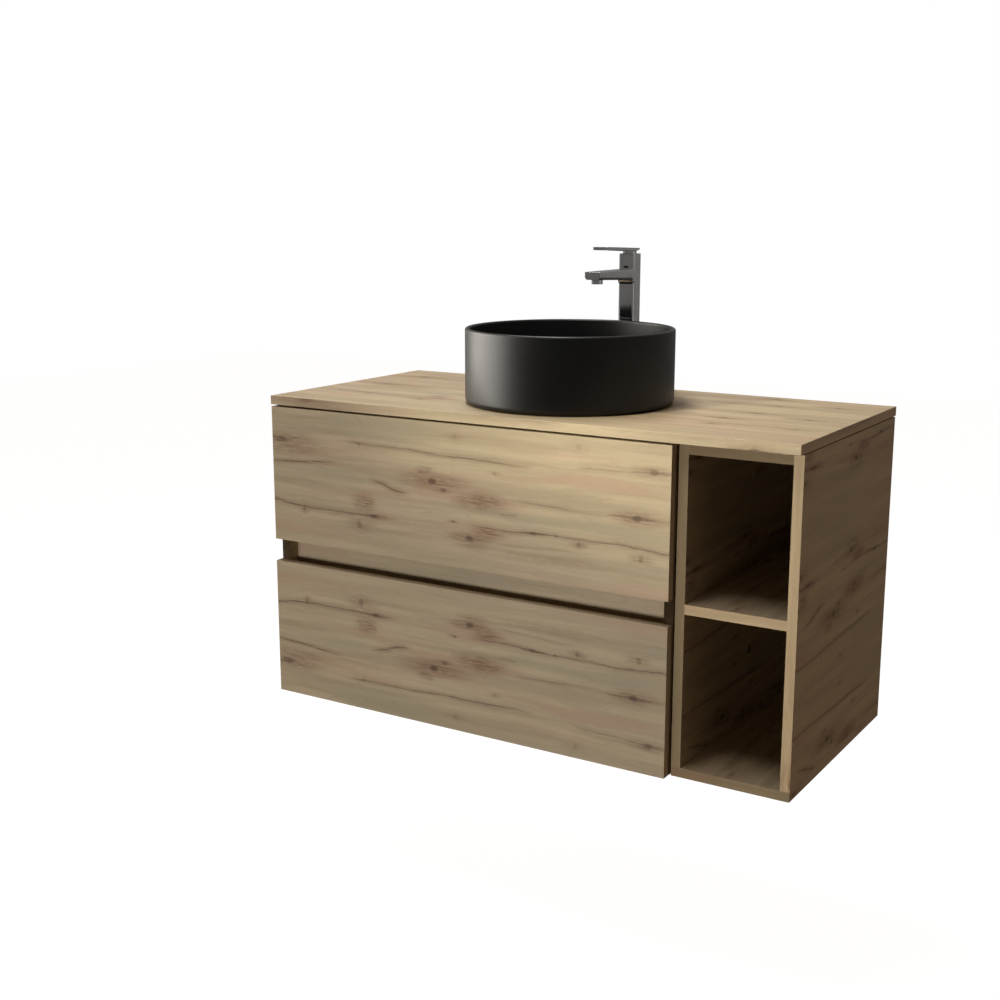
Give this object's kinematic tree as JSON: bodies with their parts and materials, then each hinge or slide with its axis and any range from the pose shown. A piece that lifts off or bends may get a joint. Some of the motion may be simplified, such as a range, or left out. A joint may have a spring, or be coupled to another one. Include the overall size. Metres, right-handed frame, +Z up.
{
  "type": "vessel sink on vanity",
  "caption": "Wall-hung bathroom vanity with drawers, an open shelf unit, a round vessel basin and a tall single-lever mixer.",
  "frame": {"origin": "under the middle of the worktop's footprint, level with the underside of the cabinets and drawer fronts", "axes": "+X to the right along the width, +Y from the drawer fronts towards the wall, +Z up"},
  "size_m": [1, 0.46, 0.822],
  "materials": {
    "oak_laminate": "rustic oak decor, matt with fine pores",
    "drawer_board": "light grey laminate",
    "beech": "plain",
    "zinc_steel": "zinc plated",
    "grey_plastic": "moulded",
    "white_plastic": "moulded",
    "pad_rubber": "matt",
    "black_ceramic": "matt black glaze",
    "chrome": "polished",
    "cartridge_plastic": "moulded",
    "brass": "machined",
    "aerator_metal": "satin",
    "dark_plastic": "moulded"
  },
  "bodies": {
    "cabinet": {"side_panel_left": "oak_laminate", "side_panel_right": "oak_laminate", "bottom_panel": "oak_laminate", "top_rail_front": "oak_laminate", "top_rail_back": "oak_laminate", "grip_rail": "oak_laminate", "open_side_left": "oak_laminate", "open_side_right": "oak_laminate", "open_top": "oak_laminate", "open_bottom": "oak_laminate", "open_shelf": "oak_laminate", "open_back": "oak_laminate", "countertop": "oak_laminate", "countertop_pads": "pad_rubber", "runner_outer_members": "zinc_steel", "dowels": "beech", "unit_connectors": "zinc_steel", "hanger_bodies": "grey_plastic", "hanger_hooks": "zinc_steel", "wall_plates": "zinc_steel", "vessel_basin": "black_ceramic", "waste_body": "chrome", "waste_locknut": "chrome", "trap_inlet_tube": "white_plastic", "trap_nuts": "white_plastic", "trap_body": "white_plastic", "trap_cup": "white_plastic", "trap_outlet_tube": "white_plastic", "faucet_body": "chrome", "rubber_seals": "pad_rubber", "cartridge": "cartridge_plastic", "cartridge_nut": "brass", "aerator": "aerator_metal", "faucet_stud": "zinc_steel", "faucet_clamp": "zinc_steel", "faucet_nut": "brass", "index_plug": "dark_plastic"},
    "upper_drawer": {"upper_front": "oak_laminate", "upper_box_side_left": "drawer_board", "upper_box_side_right": "drawer_board", "upper_box_subfront": "drawer_board", "upper_box_backs": "drawer_board", "upper_box_bottom": "drawer_board", "siphon_guard": "grey_plastic", "upper_front_screws": "zinc_steel", "upper_runner_inner": "zinc_steel"},
    "upper_runner": {"upper_runner_middle": "zinc_steel"},
    "lower_drawer": {"lower_front": "oak_laminate", "lower_box_side_left": "drawer_board", "lower_box_side_right": "drawer_board", "lower_box_subfront": "drawer_board", "lower_box_back": "drawer_board", "lower_box_bottom": "drawer_board", "lower_front_screws": "zinc_steel", "lower_runner_inner": "zinc_steel"},
    "lower_runner": {"lower_runner_middle": "zinc_steel"},
    "waste_plug": {"waste_plug": "chrome"},
    "lever_carrier": {"cartridge_carrier": "cartridge_plastic"},
    "lever": {"lever": "chrome", "lever_stem": "zinc_steel"}
  },
  "joints": [
    {"name": "upper_drawer_slide", "type": "slide", "parent": "cabinet", "child": "upper_drawer", "axis": [0, -1, 0], "range_m": [0, 0.38]},
    {"name": "upper_runner_slide", "type": "slide", "parent": "cabinet", "child": "upper_runner", "axis": [0, -1, 0], "range_m": [0, 0.19]},
    {"name": "lower_drawer_slide", "type": "slide", "parent": "cabinet", "child": "lower_drawer", "axis": [0, -1, 0], "range_m": [0, 0.38]},
    {"name": "lower_runner_slide", "type": "slide", "parent": "cabinet", "child": "lower_runner", "axis": [0, -1, 0], "range_m": [0, 0.19]},
    {"name": "waste_plug_lift", "type": "slide", "parent": "cabinet", "child": "waste_plug", "axis": [0, 0, 1], "range_m": [0, 0.009]},
    {"name": "lever_swivel", "type": "hinge", "parent": "cabinet", "child": "lever_carrier", "pos_m": [0, 0.204, 0.797], "axis": [0, 0, 1], "range_deg": [-45, 45]},
    {"name": "lever_lift", "type": "hinge", "parent": "lever_carrier", "child": "lever", "pos_m": [0, 0.204, 0.797], "axis": [-1, 0, 0], "range_deg": [0, 24]}
  ],
  "couplings": [
    {"joint": "upper_runner_slide", "follows": "upper_drawer_slide", "ratio": 0.5},
    {"joint": "lower_runner_slide", "follows": "lower_drawer_slide", "ratio": 0.5}
  ]
}
